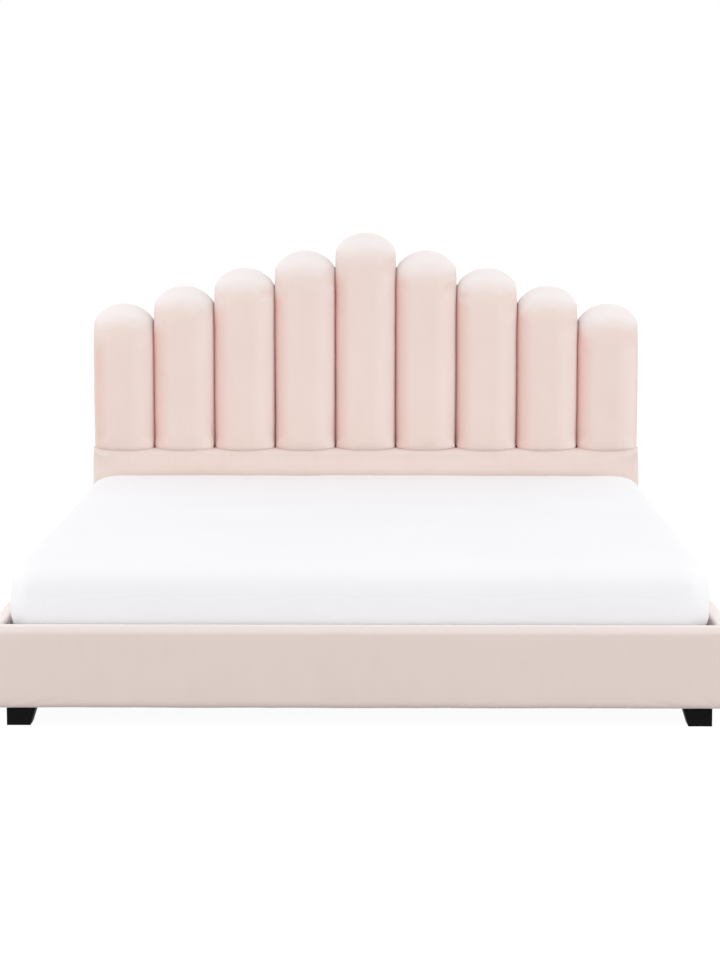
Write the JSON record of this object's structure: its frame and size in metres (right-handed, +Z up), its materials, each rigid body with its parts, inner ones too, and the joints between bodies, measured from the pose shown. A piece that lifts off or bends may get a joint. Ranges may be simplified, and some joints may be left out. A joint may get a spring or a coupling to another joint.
{
  "type": "upholstered_headboard_bed",
  "caption": "Upholstered bed with a stepped, channel-tufted velvet headboard, padded rails, sprung slats and a loose mattress",
  "frame": {"origin": "on the floor, under the middle of the bed", "axes": "+X to the right seen from the foot end, +Y from foot to head, +Z up"},
  "size_m": [1.9, 2.178, 1.195],
  "materials": {
    "velvet": "matte",
    "dust_cloth": "matte",
    "plywood": "matte",
    "pine": "satin",
    "bent_ply": "satin",
    "holder_plastic": "matte",
    "foot_plastic": "satin",
    "painted_steel": "satin",
    "zinc_steel": "satin",
    "mattress_fabric": "matte",
    "mattress_foam": "matte"
  },
  "bodies": {
    "bed_frame": {"channel_pad_1": "velvet", "channel_pad_2": "velvet", "channel_pad_3": "velvet", "channel_pad_4": "velvet", "channel_pad_5": "velvet", "channel_pad_6": "velvet", "channel_pad_7": "velvet", "channel_pad_8": "velvet", "channel_pad_9": "velvet", "headboard_lower_pad": "velvet", "headboard_border": "velvet", "side_rail_cover_left": "velvet", "side_rail_cover_right": "velvet", "foot_rail_cover": "velvet", "headboard_back_cover": "dust_cloth", "headboard_backboard": "plywood", "headboard_lower_panel": "plywood", "channel_boards": "plywood", "side_rail_board_left": "plywood", "side_rail_board_right": "plywood", "foot_rail_board": "plywood", "headboard_post_left": "pine", "headboard_post_right": "pine", "headboard_cross_rails": "pine", "headboard_stiles": "pine", "head_rail": "pine", "slat_ledge_left": "pine", "slat_ledge_right": "pine", "corner_blocks": "pine", "slats_left": "bent_ply", "slats_right": "bent_ply", "slat_holders_side": "holder_plastic", "slat_holders_centre": "holder_plastic", "corner_foot_front_left": "foot_plastic", "corner_foot_front_right": "foot_plastic", "corner_foot_rear_left": "foot_plastic", "corner_foot_rear_right": "foot_plastic", "centre_beam": "painted_steel", "centre_leg_front": "painted_steel", "centre_leg_rear": "painted_steel", "beam_bracket_front": "painted_steel", "beam_bracket_rear": "painted_steel", "corner_bracket_front_left": "painted_steel", "corner_bracket_front_right": "painted_steel", "corner_bracket_rear_left": "painted_steel", "corner_bracket_rear_right": "painted_steel", "channel_bolts": "zinc_steel", "post_bolts": "zinc_steel", "corner_bolts": "zinc_steel", "corner_insert_nuts": "zinc_steel", "foot_studs": "zinc_steel", "beam_bracket_screws": "zinc_steel", "centre_leg_screws": "zinc_steel"},
    "mattress": {"mattress_cover": "mattress_fabric", "mattress_core": "mattress_foam"},
    "front_leveller_stem": {"leveller_stem_front": "zinc_steel"},
    "front_leveller_pad": {"leveller_pad_front": "foot_plastic"},
    "rear_leveller_stem": {"leveller_stem_rear": "zinc_steel"},
    "rear_leveller_pad": {"leveller_pad_rear": "foot_plastic"}
  },
  "joints": [
    {"name": "mattress_lift", "type": "slide", "parent": "bed_frame", "child": "mattress", "axis": [0, 0, 1], "range_m": [0, 0.3]},
    {"name": "front_leveller_travel", "type": "slide", "parent": "bed_frame", "child": "front_leveller_stem", "axis": [0, 0, -1], "range_m": [0, 0.006]},
    {"name": "front_leveller_turn", "type": "hinge", "parent": "front_leveller_stem", "child": "front_leveller_pad", "pos_m": [0, -0.35, 0], "axis": [0, 0, 1], "range_deg": [0, 1440]},
    {"name": "rear_leveller_travel", "type": "slide", "parent": "bed_frame", "child": "rear_leveller_stem", "axis": [0, 0, -1], "range_m": [0, 0.006]},
    {"name": "rear_leveller_turn", "type": "hinge", "parent": "rear_leveller_stem", "child": "rear_leveller_pad", "pos_m": [0, 0.35, 0], "axis": [0, 0, 1], "range_deg": [0, 1440]}
  ],
  "couplings": [
    {"joint": "front_leveller_travel", "follows": "front_leveller_turn", "m_per_rad": 0.00023873},
    {"joint": "rear_leveller_travel", "follows": "rear_leveller_turn", "m_per_rad": 0.00023873}
  ]
}
